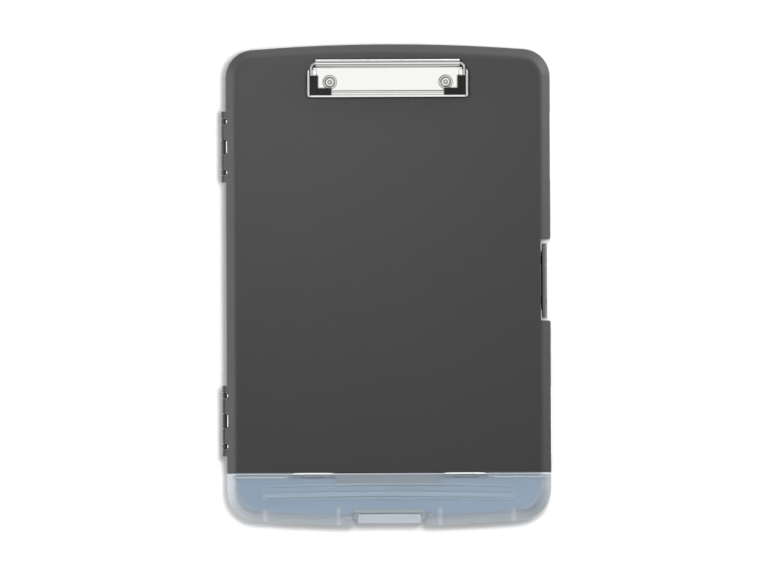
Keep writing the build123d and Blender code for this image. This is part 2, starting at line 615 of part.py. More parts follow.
def make_pen_cover():
    """Frosted cover: bevelled like the lid, with hinge windows, an arched relief and ribs to the front wall."""
    outer = upper_form(0, LID_BOTTOM, CASE_HEIGHT, BEVEL_CREASE_ROUND, BEVEL_RIM_ROUND)
    outer &= beyond(COVER_EDGE_Y, False)
    outer = fillet(edges_at(outer, Axis.X, lambda c: abs(c.Y - COVER_EDGE_Y) < CLOSE
                            and abs(c.Z - CASE_HEIGHT) < CLOSE), SEAM_EDGE_ROUND)
    hollow = upper_form(PEN_WALL, LID_BOTTOM - 1, CASE_HEIGHT - PEN_WALL, 0, 0)
    hollow &= beyond(COVER_EDGE_Y - PEN_WALL, False)
    hollow -= tab_notch(TAB_COVER_WALL_Y, PEN_WALL)
    for x in [side * x for side in (-1, 1) for x in COVER_RIB_X]:
        hollow -= block(widened((x, x), COVER_RIB_THICKNESS / 2),
                        (-END_Y, -END_Y + BEVEL_WIDTH / 2 + COVER_RIB_LENGTH),
                        (CASE_HEIGHT - PEN_WALL - COVER_RIB_DEPTH, CASE_HEIGHT))
    cover = outer - tab_notch(TAB_COVER_WALL_Y, 0) - hollow
    cover -= block((-FAR, FAR), (COVER_AXIS_Y - 1, FAR), (-FAR, BASE_HEIGHT + SKIRT_LIFT))
    cover += cover_relief()
    for form in cover_beads():
        cover += form
    for side in (-1, 1):
        cover = cut_cover_hinge(cover, side)
    for side in (-1, 1):
        ear_x = span_between(side * (TAB_WIDTH / 2 + KNUCKLE_GAP), side * (TAB_NOTCH_WIDTH / 2 + PEN_WALL / 2))
        cover += block(ear_x, (TAB_COVER_WALL_Y - TAB_EAR_LENGTH, TAB_COVER_WALL_Y + PEN_WALL / 2),
                       (TAB_AXIS_Z - TAB_PIVOT_RADIUS, TAB_AXIS_Z + TAB_PIVOT_RADIUS))
        cover -= rod_along_x(TAB_AXIS_Y, TAB_AXIS_Z, ear_x, TAB_PIN_RADIUS + FIXED_CLEARANCE)
    return cover


def cut_cover_hinge(cover, side):
    """Cover with the window, knuckles and pin bores of one of its hinges."""
    window, knuckles, post = cover_hinge_spans(side)
    cover -= block(window, (SEAM_Y - COVER_WINDOW_DEPTH, FAR), (-1, FAR))
    cover -= rod_along_x(COVER_AXIS_Y, COVER_AXIS_Z, widened(post, KNUCKLE_GAP),
                         COVER_BARREL_RADIUS + COVER_BARREL_CLEARANCE)
    for span in knuckles:
        cover += block(span, (SEAM_Y - COVER_WINDOW_DEPTH - 1, COVER_AXIS_Y), (CASE_HEIGHT - PEN_WALL, CASE_HEIGHT))
        cover += rod_along_x(COVER_AXIS_Y, COVER_AXIS_Z, span, COVER_BARREL_RADIUS)
        cover -= rod_along_x(COVER_AXIS_Y, COVER_AXIS_Z, widened(span, 1), COVER_PIN_RADIUS + RUNNING_CLEARANCE)
    return cover


def make_cover_pin(side):
    """Steel pin of one cover hinge."""
    window, _, _ = cover_hinge_spans(side)
    return rod_along_x(COVER_AXIS_Y, COVER_AXIS_Z, widened(window, -KNUCKLE_GAP - COVER_PIN_END_GAP),
                       COVER_PIN_RADIUS)


def make_pen_latch():
    """Pull tab: barrel at the top, a rounded shoulder, and a leaf that hangs down to its nose."""
    inner = tab_inner_face()
    top = TAB_AXIS_Z + TAB_PIVOT_RADIUS
    shoulder = top - TAB_SHOULDER_DROP
    leaf = [(TAB_AXIS_Y, top), (TAB_FACE_Y, shoulder), (TAB_FACE_Y, TAB_FOOT_HEIGHT), (inner, TAB_FOOT_HEIGHT),
            (inner, shoulder - TAB_THICKNESS), (TAB_AXIS_Y, top - TAB_THICKNESS)]
    half = TAB_WIDTH / 2
    tab = prism_along_x(leaf, (-half, half))
    tab = fillet(edges_at(tab, Axis.X, lambda c: abs(c.Y - TAB_FACE_Y) < CLOSE), TAB_SHOULDER_ROUND)
    tab += rod_along_x(TAB_AXIS_Y, TAB_AXIS_Z, (-half, half), TAB_PIVOT_RADIUS)
    tip = tab_ledge_face() - NOSE_CLEARANCE
    root = inner - TAB_THICKNESS / 2
    hook = TAB_LEDGE_HEIGHT - TAB_LEDGE_GAP
    nose = [(root, hook), (tip, hook), (tip, hook - TAB_NOSE_LIP), (root, hook - NOSE_HEIGHT - TAB_NOSE_LIP)]
    tab += prism_along_x(nose, (-half + TAB_NOSE_INSET, half - TAB_NOSE_INSET))
    return tab - rod_along_x(TAB_AXIS_Y, TAB_AXIS_Z, (-half - 1, half + 1), TAB_PIN_RADIUS + RUNNING_CLEARANCE)


def make_pen_latch_pin():
    """Steel pin between the cover's two ears."""
    half = TAB_NOTCH_WIDTH / 2 + PEN_WALL / 2 - TAB_PIN_END_GAP
    return rod_along_x(TAB_AXIS_Y, TAB_AXIS_Z, (-half, half), TAB_PIN_RADIUS)


# ---- Paper clip ---------------------------------------------------------------------------------
def make_clip_plate():
    """Sheet-steel plate: flat, riveted to the lid, its far edge rolled into an open barrel."""
    sheet = (CASE_HEIGHT, CASE_HEIGHT + CLIP_SHEET)
    low_y = ROD_Y - CLIP_PLATE_REACH
    barrel_y = ROD_Y - BARREL_DIAMETER / 2
    plate = block((-CLIP_PLATE_HALF, CLIP_PLATE_HALF), (low_y, ROD_Y), sheet)
    plate += block((-CLIP_SHOULDER_HALF, CLIP_SHOULDER_HALF), (barrel_y - CLIP_SHOULDER_LENGTH, barrel_y), sheet)
    plate = fillet(plate.edges().filter_by(lambda e: e.center().Z > sheet[1] - CLOSE and e.center().Y < barrel_y
                                           - CLIP_SHOULDER_LENGTH - CLOSE), SHEET_EDGE_ROUND)
    half = BARREL_LENGTH / 2
    barrel = rod_along_x(ROD_Y, ROD_Z, (-half, half), BARREL_DIAMETER / 2)
    barrel -= rod_along_x(ROD_Y, ROD_Z, (-half - 1, half + 1), BARREL_DIAMETER / 2 - CLIP_SHEET)
    barrel -= block((-half - 1, half + 1), (ROD_Y - BARREL_DIAMETER, ROD_Y - CLIP_SHEET),
                    (sheet[1], sheet[1] + BARREL_SEAM))
    plate += barrel
    for side in (-1, 1):
        dimple = Cone(DIMPLE_RADIUS, DIMPLE_RADIUS - DIMPLE_RISE, DIMPLE_RISE)
        plate += Pos(side * RIVET_X, RIVET_Y, sheet[1] + DIMPLE_RISE / 2) * dimple
        plate -= disc_stack(side * RIVET_X, RIVET_Y, (CASE_HEIGHT - 1, RIVET_SEAT + 1),
                            RIVET_SHANK_RADIUS + FIXED_CLEARANCE)
    return plate


def make_clip_rod():
    """Wire through the barrel, bent forward at both ends into two arms that carry the jaw, up to its grips."""
    arm_end = GRIP_END_Y + GRIP_WIRE_GAP
    corners = [(-ROD_ARM_X, arm_end, ROD_Z), (-ROD_ARM_X, ROD_Y, ROD_Z), (ROD_ARM_X, ROD_Y, ROD_Z),
               (ROD_ARM_X, arm_end, ROD_Z)]
    path = FilletPolyline(*corners, radius=ROD_BEND)
    start = Plane(origin=path @ 0, z_dir=path % 0)
    return sweep(start * Circle(ROD_RADIUS), path=path)


def jaw_rail(side, y):
    """Rolled side rail: an inverted trough with a round back."""
    outer = CLIP_WIDTH / 2
    inner = outer - JAW_RAIL_WIDTH
    foot = CASE_HEIGHT + JAW_LIP_GAP + JAW_RAIL_LIFT
    top = CASE_HEIGHT + JAW_LIP_GAP + JAW_RAIL_HEIGHT
    section = [(outer, foot), (outer - CLIP_SHEET, foot), (outer - CLIP_SHEET, top - CLIP_SHEET),
               (inner + CLIP_SHEET, top - CLIP_SHEET), (inner + CLIP_SHEET, WEB_BOTTOM), (inner, WEB_BOTTOM),
               (inner, top), (outer, top)]
    rail = prism_along_y([(side * x, z) for x, z in section], y)
    return fillet(edges_at(rail, Axis.Y, lambda c: c.Z > top - CLOSE), JAW_RAIL_ROUND)


def make_clip_jaw():
    """Pressed frame: two side rails, a front bar with a turned-down lip, and arms under the wire."""
    half = CLIP_WIDTH / 2
    front = JAW_FRONT_Y
    back = ROD_Y - JAW_RAIL_TOP_FROM_ROD
    lip_bottom = CASE_HEIGHT + JAW_LIP_GAP
    lip_top = WEB_TOP + JAW_LIP_RISE
    ridge_top = WEB_TOP + JAW_RIDGE_RISE
    section = [(0, lip_bottom), (CLIP_SHEET, lip_bottom), (CLIP_SHEET, WEB_BOTTOM), (JAW_BAR_WIDTH, WEB_BOTTOM),
               (JAW_BAR_WIDTH, ridge_top), (JAW_BAR_WIDTH - JAW_RIDGE_WIDTH, ridge_top),
               (JAW_BAR_WIDTH - JAW_RIDGE_WIDTH, WEB_TOP), (2 * CLIP_SHEET, WEB_TOP), (2 * CLIP_SHEET, lip_top),
               (0, lip_top)]
    jaw = prism_along_x([(front + y, z) for y, z in section], (-half, half))
    jaw = fillet(edges_at(jaw, Axis.X, lambda c: c.Z > ridge_top - CLOSE), SHEET_EDGE_ROUND)
    for side in (-1, 1):
        jaw += jaw_rail(side, (front, back))
        web_x = span_between(side * JAW_ARM_INNER, side * (half - JAW_RAIL_WIDTH + CLIP_SHEET / 2))
        jaw += block(web_x, (front + CLIP_SHEET, back), (WEB_BOTTOM, WEB_TOP))
    plan = Pos(0, (front + back) / 2) * RectangleRounded(CLIP_WIDTH, back - front, JAW_CORNER_ROUND)
    return jaw & extrude(Pos(0, 0, CASE_HEIGHT) * plan, amount=BARREL_DIAMETER)


def corner_band(side, inset, widths, lengths, height):
    """L-shaped band along the inner corner of the jaw: a leg up the side and a foot along the front."""
    outer = CLIP_WIDTH / 2 - JAW_RAIL_WIDTH - inset
    front = GRIP_FRONT_Y + inset
    leg = block(span_between(side * outer, side * (outer - widths[0])), (front, front + lengths[0] - inset), height)
    foot_end = CLIP_WIDTH / 2 - JAW_RAIL_WIDTH - lengths[1]
    return leg + block(span_between(side * outer, side * foot_end), (front, front + widths[1]), height)


def make_corner_grip(side, jaw):
    """Black L-shaped grip pushed over the inner corner of the jaw, with two grooves along it."""
    top = WEB_TOP + GRIP_RISE
    lengths = (GRIP_HEIGHT, GRIP_FOOT)
    grip = corner_band(side, 0, (GRIP_WIDTH, GRIP_FOOT_WIDTH - CLIP_SHEET), lengths, (WEB_BOTTOM - GRIP_UNDER, top))
    grip = fillet(grip.faces().sort_by(Axis.Z)[-1].edges(), GRIP_EDGE_ROUND)
    for inset in GRIP_GROOVES:
        widths = (GRIP_GROOVE_WIDTH, GRIP_GROOVE_WIDTH)
        longer = (GRIP_HEIGHT + 1, GRIP_FOOT + 1)
        grip -= corner_band(side, inset, widths, longer, (top - GRIP_GROOVE_DEPTH, top + 1))
    return grip - jaw


def coil_station(turn):
    """Place and heading on the spring's helix after a number of turns."""
    angle = 2 * pi * turn
    place = Vector(SPRING_COIL_RADIUS * cos(angle), SPRING_COIL_RADIUS * sin(angle), SPRING_PITCH * turn)
    heading = Vector(-SPRING_COIL_RADIUS * sin(angle), SPRING_COIL_RADIUS * cos(angle), SPRING_PITCH / (2 * pi))
    return place, heading.normalized()


def coil_path():
    """Helix as one chain of tangent arcs, two to each quarter turn."""
    arcs = []
    for quarter in range(4 * SPRING_TURNS):
        start, leave = coil_station(quarter / 4)
        end, arrive = coil_station((quarter + 1) / 4)
        chord = end - start
        spread = 2 * (1 - leave.dot(arrive))
        slope = chord.dot(leave + arrive)
        reach = (sqrt(slope ** 2 + spread * chord.dot(chord)) - slope) / spread
        near = start + leave * reach
        far = end - arrive * reach
        arcs.append(TangentArc(start, (near + far) * 0.5, tangent=leave))
        arcs.append(TangentArc((near + far) * 0.5, end, tangent=far - near))
    return Wire([edge for arc in arcs for edge in arc.edges()])


def least_coil_gap(path):
    """Least clear distance from turn to turn, measured on points along the wire's middle line."""
    count = COIL_POINTS_PER_TURN * SPRING_TURNS
    points = [path @ (step / count) for step in range(count + 1)]
    half_turn = COIL_POINTS_PER_TURN // 2
    distances = [(b - a).length for i, a in enumerate(points) for b in points[i + half_turn:]]
    return min(distances) - 2 * SPRING_WIRE_RADIUS


def make_clip_spring(side):
    """Torsion spring round the wire, inside the barrel."""
    path = coil_path()
    print("least gap between the turns of a spring:", round(least_coil_gap(path), 2), "mm")
    start = Plane(origin=path @ 0, z_dir=path % 0)
    wire = sweep(start * Circle(SPRING_WIRE_RADIUS), path=path)
    length = SPRING_PITCH * SPRING_TURNS
    return Pos(side * SPRING_CENTRE - length / 2, ROD_Y, ROD_Z) * Rot(0, 90, 0) * wire


def make_rivet(side):
    """Tubular rivet: dished head on the plate, hollow shank through the lid, rolled foot under the washer."""
    x = side * RIVET_X
    head_top = RIVET_SEAT + RIVET_HEAD_RISE
    foot_top = CASE_HEIGHT - PANEL - WASHER_THICKNESS
    foot = foot_top - RIVET_FOOT_THICKNESS
    head = disc_stack(x, RIVET_Y, (RIVET_SEAT, head_top), RIVET_HEAD_RADIUS)
    head = fillet(head.edges().sort_by(Axis.Z)[-1], RIVET_HEAD_ROUND)
    head -= disc_stack(x, RIVET_Y, (head_top - RIVET_DISH_DEPTH, head_top + 1), RIVET_BORE_RADIUS)
    rivet = head + disc_stack(x, RIVET_Y, (foot, RIVET_SEAT + BIT), RIVET_SHANK_RADIUS)
    rivet += disc_stack(x, RIVET_Y, (foot, foot_top), RIVET_FOOT_RADIUS)
    return rivet - disc_stack(x, RIVET_Y, (foot - 1, RIVET_SEAT), RIVET_BORE_RADIUS)


def make_washer(side):
    """Plain washer under the lid, round the rivet's shank."""
    top = CASE_HEIGHT - PANEL
    ring = disc_stack(side * RIVET_X, RIVET_Y, (top - WASHER_THICKNESS, top), WASHER_RADIUS)
    return ring - disc_stack(side * RIVET_X, RIVET_Y, (top - PANEL, top + 1), RIVET_SHANK_RADIUS + FIXED_CLEARANCE)


# ---- The whole clipboard ------------------------------------------------------------------------
def make_parts():
    """Every piece of the clipboard, by name."""
    jaw = make_clip_jaw()
    parts = {
        "base_shell": make_base_shell(),
        "lid_shell": make_lid_shell(),
        "lid_pin_upper": make_lid_pin(LID_HINGE_CENTRES["upper"]),
        "lid_pin_lower": make_lid_pin(LID_HINGE_CENTRES["lower"]),
        "side_latch": make_side_latch(),
        "side_latch_pin": make_side_latch_pin(),
        "pen_tray": make_pen_tray(),
        "pen_cover": make_pen_cover(),
        "pen_latch": make_pen_latch(),
        "pen_latch_pin": make_pen_latch_pin(),
        "clip_plate": make_clip_plate(),
        "clip_jaw": jaw,
        "clip_rod": make_clip_rod(),
    }
    for name, side in (("left", -1), ("right", 1)):
        parts["cover_pin_" + name] = make_cover_pin(side)
        parts["corner_grip_" + name] = make_corner_grip(side, jaw)
        parts["clip_spring_" + name] = make_clip_spring(side)
        parts["rivet_" + name] = make_rivet(side)
        parts["washer_" + name] = make_washer(side)
    return parts


os.makedirs("parts", exist_ok=True)
for node, solid in make_parts().items():
    export_step(solid, "parts/" + node + ".step")
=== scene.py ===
# %% [markdown]
# # A slim storage clipboard, dressed for its portrait
#
# The object is a plastic case that opens like a book. Its lid is the writing board, a nickel-plated
# paper clip sits at the top, and a frosted pen compartment closes the lower end. The construction
# model already holds every moving piece at its real size, so this lesson does what a painter and a
# polisher would do: it gives each piece its finish, adds the small mouldings that are too fine for
# the construction model, lights the case softly and looks straight down on it.

# %% Load the construction model
import bpy
import bmesh
from math import pi, radians
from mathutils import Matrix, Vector


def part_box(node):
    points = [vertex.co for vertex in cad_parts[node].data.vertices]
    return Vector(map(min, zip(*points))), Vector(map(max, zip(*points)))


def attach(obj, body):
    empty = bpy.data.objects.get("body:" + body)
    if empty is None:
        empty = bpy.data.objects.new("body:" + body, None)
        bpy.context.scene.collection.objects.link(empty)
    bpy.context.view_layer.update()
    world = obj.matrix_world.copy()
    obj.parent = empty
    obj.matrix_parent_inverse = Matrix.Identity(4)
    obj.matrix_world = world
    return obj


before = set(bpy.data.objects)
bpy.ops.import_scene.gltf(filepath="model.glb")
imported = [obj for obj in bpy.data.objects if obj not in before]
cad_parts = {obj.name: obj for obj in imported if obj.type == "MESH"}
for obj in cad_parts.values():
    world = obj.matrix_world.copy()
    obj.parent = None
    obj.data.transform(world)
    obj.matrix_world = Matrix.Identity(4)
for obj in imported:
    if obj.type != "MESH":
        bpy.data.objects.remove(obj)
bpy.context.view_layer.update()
MM = 0.001
print("pieces of the construction model:", len(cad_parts))

# %% [markdown]
# ## Arithmetic on a surface
#
# A finish varies over a surface: a little more shine here, a little dust there. In Blender each sum
# of that kind is a node. Writing the sums as ordinary Python keeps them readable, so one small class
# wraps a socket and lets +, -, *, / and ** add the nodes. Everything else a finish needs comes from
# one method that makes any node, sets it up first and then fills its sockets.


# %% Sums that write their own nodes
class Level:
    """A number that changes over the surface, as the output of a node."""

    def __init__(self, sheet, socket):
        self.sheet = sheet
        self.socket = socket

    def sum_with(self, operation, first, second):
        return self.sheet.add("ShaderNodeMath", {"operation": operation}, {0: first, 1: second})

    def __add__(self, other):
        return self.sum_with("ADD", self, other)

    def __sub__(self, other):
        return self.sum_with("SUBTRACT", self, other)

    def __mul__(self, other):
        return self.sum_with("MULTIPLY", self, other)

    def __truediv__(self, other):
        return self.sum_with("DIVIDE", self, other)

    def __rsub__(self, other):
        return self.sum_with("SUBTRACT", other, self)

    def __rtruediv__(self, other):
        return self.sum_with("DIVIDE", other, self)

    def __pow__(self, other):
        return self.sum_with("POWER", self, other)

    def __rpow__(self, other):
        return self.sum_with("POWER", other, self)

    def __abs__(self):
        return self.sum_with("ABSOLUTE", self, 0.0)

    def at_least(self, other):
        return self.sum_with("MAXIMUM", self, other)

    __radd__ = __add__
    __rmul__ = __mul__


print("a level can be added, taken away, multiplied, divided and raised to a power")


# %% A sheet of nodes
class Sheet:
    """Nodes of one material or of the room."""

    def __init__(self, tree):
        self.tree = tree
        self.tree.nodes.clear()

    def add(self, kind, settings, sockets, output=0):
        """Make a node, set it up, fill its sockets, and give back one of its outputs."""
        node = self.tree.nodes.new(kind)
        for name, value in settings.items():
            if name == "stops":
                self.set_stops(node.color_ramp, value)
            else:
                setattr(node, name, value)
        for name, value in sockets.items():
            if isinstance(value, Level):
                self.tree.links.new(value.socket, node.inputs[name])
            else:
                node.inputs[name].default_value = value
        return Level(self, node.outputs[output] if len(node.outputs) else None)

    def set_stops(self, ramp, stops):
        while len(ramp.elements) < len(stops):
            ramp.elements.new(1.0)
        for element, (position, shade) in zip(ramp.elements, stops):
            element.position = position
            element.color = (shade, shade, shade, 1.0)

    def ramp(self, level, stops):
        """Level pushed through a curve of (position, value) stops."""
        return self.add("ShaderNodeValToRGB", {"stops": stops}, {"Fac": level})

    def step(self, level, start, end):
        """0 until start, then a soft rise to 1 at end."""
        return self.add("ShaderNodeMapRange", {"interpolation_type": "SMOOTHSTEP"},
                        {"Value": level, "From Min": start, "From Max": end})

    def colour_step(self, factor, first, second):
        """Colour between two colours."""
        return self.add("ShaderNodeMix", {"data_type": "RGBA"}, {0: factor, 6: first, 7: second}, 2)

    def along(self, vector, axis):
        """One of a vector's three parts."""
        return self.add("ShaderNodeSeparateXYZ", {}, {"Vector": vector}, axis)

    def ray(self, kind):
        """1 where a ray of this kind arrives: Camera, Transmission or Glossy."""
        return self.add("ShaderNodeLightPath", {}, {}, "Is %s Ray" % kind)

    def white_light(self, kind, strength):
        """Plain white light; kind is the node for a surface or for the room."""
        return self.add(kind, {}, {"Color": (1, 1, 1, 1), "Strength": strength})

    def mix(self, share, first, second):
        """Two shaders; share is the part of the second."""
        return self.add("ShaderNodeMixShader", {}, {0: share, 1: first, 2: second})


print("a sheet can step, ramp, colour and mix")


# %% A finish made of nodes
class Finish(Sheet):
    """A material under construction. Places are read in metres from the object's own coordinates."""

    def __init__(self, name):
        self.material = bpy.data.materials.new(name)
        self.material.use_nodes = True
        super().__init__(self.material.node_tree)
        self.place = self.add("ShaderNodeTexCoord", {}, {}, "Object")

    def noise(self, size, detail=2.0, stretch=(1.0, 1.0, 1.0)):
        """Cloudy pattern from 0 to 1 whose blotches are about size metres across."""
        spread = self.add("ShaderNodeMapping", {}, {"Vector": self.place, "Scale": stretch})
        return self.add("ShaderNodeTexNoise", {},
                        {"Vector": spread, "Scale": 1 / size, "Detail": detail}, "Fac")

    def soft_edge(self, radius):
        """Normal of the surface as if its edges were rounded to this radius."""
        return self.add("ShaderNodeBevel", {"samples": 6}, {"Radius": radius})

    def edge_mask(self, radius, gain):
        """1 along edges, 0 on flat stretches: how far the rounded normal leans from the true one."""
        true_normal = self.add("ShaderNodeNewGeometry", {}, {}, "Normal")
        lean = self.add("ShaderNodeVectorMath", {"operation": "DOT_PRODUCT"},
                        {0: self.soft_edge(radius), 1: true_normal}, "Value")
        return self.add("ShaderNodeMath", {"operation": "MULTIPLY", "use_clamp": True},
                        {0: 1 - lean, 1: gain})

    def painted_shade_mask(self, reach, alone=True):
        """Painted shade, 1 deep in a corner and 0 in the open; alone leaves out neighbouring pieces.
        """
        open_share = self.add("ShaderNodeAmbientOcclusion", {"samples": 8, "only_local": alone},
                              {"Distance": reach}, "AO")
        return 1 - open_share

    def relief(self, height, distance, radius):
        """Fine relief of the surface over gently rounded edges."""
        return self.add("ShaderNodeBump", {}, {"Height": height, "Distance": distance,
                                               "Strength": 1.0, "Normal": self.soft_edge(radius)})

    def shader(self, **sockets):
        """One principled surface; underscores in names stand for spaces."""
        return self.add("ShaderNodeBsdfPrincipled", {},
                        {name.replace("_", " "): value for name, value in sockets.items()})

    def close(self, shader):
        """Send a shader to the output and give back the finished material."""
        self.add("ShaderNodeOutputMaterial", {}, {"Surface": shader})
        return self.material


def times(colour, factor):
    """Colour made darker or paler by a factor."""
    return tuple(factor * part for part in colour[:3]) + (1,)


print("a finish reads places, edges and creases")

# %% [markdown]
# ## Charcoal plastic
#
# The two case shells are injection-moulded in one dark grey plastic. The mould is spark-eroded, so
# the surface has a fine satin grain, about half a millimetre, that scatters the lamp into a wide,
# dull sheen. Handling wears the edges a little, and they also get a painted highlight, so they are
# painted a shade paler. A flat grey would look like paper, so the grain goes into the relief, slow
# clouds go into the colour and the roughness, and the paler edges come from comparing the true
# normal with a rounded one. Corners, gaps between the pieces and the board round the clip get a
# painted shade, nearly black, from how enclosed they are. The latch, which fingers rub, is smoother,
# and it is painted paler as a highlight, because its rounded top catches the lamp.

# %% Charcoal plastic
DARK_GREY, PALE_GREY = (0.88, 0.84, 0.89), (1.0, 0.955, 1.01)
# Paler grey for worn edges and their painted highlight; nearly black for painted shade.
WEAR_AND_HIGHLIGHT_GREY = (0.125, 0.122, 0.125, 1)
SHADE_BLACK = (0.004, 0.004, 0.004, 1)
PLASTIC_IOR = 1.49


def charcoal_plastic(name, shade, polish):
    """Satin grey plastic; polish lowers the roughness where hands have rubbed it."""
    finish = Finish(name)
    clouds = finish.noise(size=90 * MM, detail=3.0)
    grain = finish.noise(size=0.45 * MM, detail=3.0)
    scratches = finish.noise(size=4 * MM, detail=6.0, stretch=(0.35, 1.6, 1.0))
    scuffs = finish.ramp(scratches, [(0.56, 0.0), (0.74, 1.0)])
    # Edges are painted paler: a little wear and a painted highlight.
    edges = finish.edge_mask(radius=0.5 * MM, gain=2.2)
    # Painted shade: corners, gaps and the board next to other pieces, such as round the clip, go
    # nearly black.
    crease_shade = finish.painted_shade_mask(reach=2.0 * MM, alone=False)
    body = finish.colour_step(clouds, times(DARK_GREY, shade), times(PALE_GREY, shade))
    wear_and_highlight = finish.colour_step(edges * 0.15 + scuffs * 0.03, body, WEAR_AND_HIGHLIGHT_GREY)
    roughness = 0.56 - polish + clouds * 0.05 - edges * 0.1 - scuffs * 0.04 + grain * 0.04
    return finish.close(finish.shader(
        Base_Color=finish.colour_step(crease_shade * 1.7, wear_and_highlight, SHADE_BLACK),
        Roughness=roughness + crease_shade * 0.5,
        IOR=PLASTIC_IOR,
        Specular_IOR_Level=0.4,
        Normal=finish.relief(grain, distance=0.012 * MM, radius=0.35 * MM),
    ))


charcoal = charcoal_plastic("charcoal_plastic", shade=0.039, polish=0.0)
# The latch's paler shade is a painted highlight of its rounded top; its lower roughness is real
# polish.
latch_charcoal_painted_highlight = charcoal_plastic("charcoal_latch", shade=0.12, polish=0.2)
print("finishes:", charcoal.name, latch_charcoal_painted_highlight.name)

# %% [markdown]
# ## Frosted plastic
#
# The pen compartment is natural polypropylene. It lets light through but not a picture: the fine
# frosting on its skin blurs what lies behind. Where a wall, a rib or a rim is seen end on, the light
# has to cross much more of the milky body, so those places look pale while the broad faces look
# blue-grey. It could be made with plain see-through alpha, but then pens inside would look sharp.
# So two shaders are mixed: a clear one with a rough skin and a milky one, and the share of the milky
# one is worked out from where the walls stand, in millimetres from the compartment's outline.

# %% Outline of the compartment
HALF_WIDTH = 120.6 * MM
END_LINE = 179.2 * MM
END_ARC = 1294.0 * MM
CORNER = 24.5 * MM
SEAM_LINE = -139.4 * MM


def from_middle(finish):
    """Distance from the middle line of the case, which runs from its clip to its compartment."""
    return abs(finish.along(finish.place, "X"))


def along_middle(finish):
    """Place along the middle line; the clip's end is positive and the compartment's negative."""
    return finish.along(finish.place, "Y")


def rim_distance(finish):
    """How far inside the rounded outline of the case and its compartment a point lies."""
    across = from_middle(finish)
    arc_y = abs(along_middle(finish)) + (END_ARC - END_LINE)
    from_side = HALF_WIDTH - across
    from_end = END_ARC - (across * across + arc_y * arc_y) ** 0.5
    past_side = (CORNER - from_side).at_least(0.0)
    past_end = (CORNER - from_end).at_least(0.0)
    return CORNER - (past_side * past_side + past_end * past_end) ** 0.5


def stripe(finish, level, middle, half, soft):
    """1 within half of the middle, falling softly to 0."""
    return 1 - finish.step(abs(level - middle), half, half + soft)


print("corner of the compartment:", round(CORNER / MM, 1), "mm")

# %% Ribs, beads and walls of the cover
TAB_HALF = 25.8 * MM
TAB_LINE = -168.4 * MM
MARK_SHARE, TONGUE_SHARE = 0.85, 0.4


def cover_marks(finish):
    """1 on the ribs and the beads beside the windows, seen end on, and on a painted highlight at the
    seam.
    """
    across, y = from_middle(finish), along_middle(finish)
    inner_rib = stripe(finish, across, middle=37.8 * MM, half=1.0 * MM, soft=0.8 * MM)
    outer_rib = stripe(finish, across, middle=92.5 * MM, half=1.3 * MM, soft=1.0 * MM)
    near_end = 1 - finish.step(y, start=-167.4 * MM, end=-164.6 * MM)
    bead_length = stripe(finish, across, middle=96.5 * MM, half=19 * MM, soft=1 * MM)
    bead_width = stripe(finish, y, middle=-143.2 * MM, half=0.5 * MM, soft=0.3 * MM)
    # Painted highlight along the cover's edge at the seam.
    seam = finish.step(y, start=SEAM_LINE - 1.9 * MM, end=SEAM_LINE - 1.5 * MM)
    ribs = (inner_rib + outer_rib) * near_end
    return ribs.at_least(bead_length * bead_width).at_least(seam)


def cover_walls(finish):
    """Share of milky light on the cover: its rim, its marks with the painted highlight at the seam,
    the wall at the tab and the tongue.
    """
    across, y = from_middle(finish), along_middle(finish)
    rim = 1 - finish.step(rim_distance(finish), start=1.0 * MM, end=8.4 * MM)
    tab_width = 1 - finish.step(across, start=TAB_HALF, end=TAB_HALF + 2 * MM)
    tab_depth = 1 - finish.step(y, start=TAB_LINE, end=TAB_LINE + 2.6 * MM)
    tongue_width = stripe(finish, across, middle=0.0, half=36 * MM, soft=5 * MM)
    tongue_depth = finish.step(y, start=SEAM_LINE - 12 * MM, end=SEAM_LINE - 7 * MM)
    tongue = tongue_width * tongue_depth * TONGUE_SHARE
    marks = cover_marks(finish) * MARK_SHARE
    return rim.at_least(tab_width * tab_depth).at_least(tongue).at_least(marks)


print("pull tab:", round(2 * TAB_HALF / MM, 1), "mm wide")

# %% Arched relief of the cover, and the walls of tray and tab
RELIEF_RADIUS = 3270.0 * MM
RELIEF_HALF = 94.5 * MM
PANEL_PALENESS, STRIP_PALENESS = 0.12, 0.36
# The fold's paleness is painted light over the shaded corner of the rim.
MARK_PALENESS, FOLD_PAINTED_LIGHT = 0.28, 0.75
TRAY_FLOOR_SHARE, TRAY_WALL_SHARE = 0.15, 0.75
TAB_SHARE, TAB_END_SHARE = 0.8, 0.1


def cover_paleness(finish):
    """How much paler the cover is on its marks, its arched relief, the painted highlight at the seam
    and the painted light on the fold of its rim.
    """
    across, y = from_middle(finish), along_middle(finish)
    marks = cover_marks(finish)
    down = SEAM_LINE - y - across * across / (2 * RELIEF_RADIUS)
    inside = 1 - finish.step(across, start=RELIEF_HALF - 0.6 * MM, end=RELIEF_HALF)
    panel = stripe(finish, down, middle=14.45 * MM, half=5.7 * MM, soft=0.4 * MM)
    strip = stripe(finish, down, middle=16.3 * MM, half=1.4 * MM, soft=0.4 * MM)
    # Painted light that lifts the shade along the fold of the rim.
    fold = stripe(finish, rim_distance(finish), middle=7.2 * MM, half=0.8 * MM, soft=1.4 * MM)
    fold = fold * finish.step(across, start=TAB_HALF + 1 * MM, end=TAB_HALF + 3 * MM)
    relief = (panel * PANEL_PALENESS + strip * STRIP_PALENESS) * inside
    fold = fold * (1 - marks) * FOLD_PAINTED_LIGHT
    return (marks * MARK_PALENESS).at_least(relief).at_least(fold)


def tray_walls(finish):
    """Share of milky light on the tray: the wall all round, and little on the floor."""
    wall = 1 - finish.step(rim_distance(finish), start=1.8 * MM, end=4.0 * MM)
    return TRAY_FLOOR_SHARE + wall * TRAY_WALL_SHARE


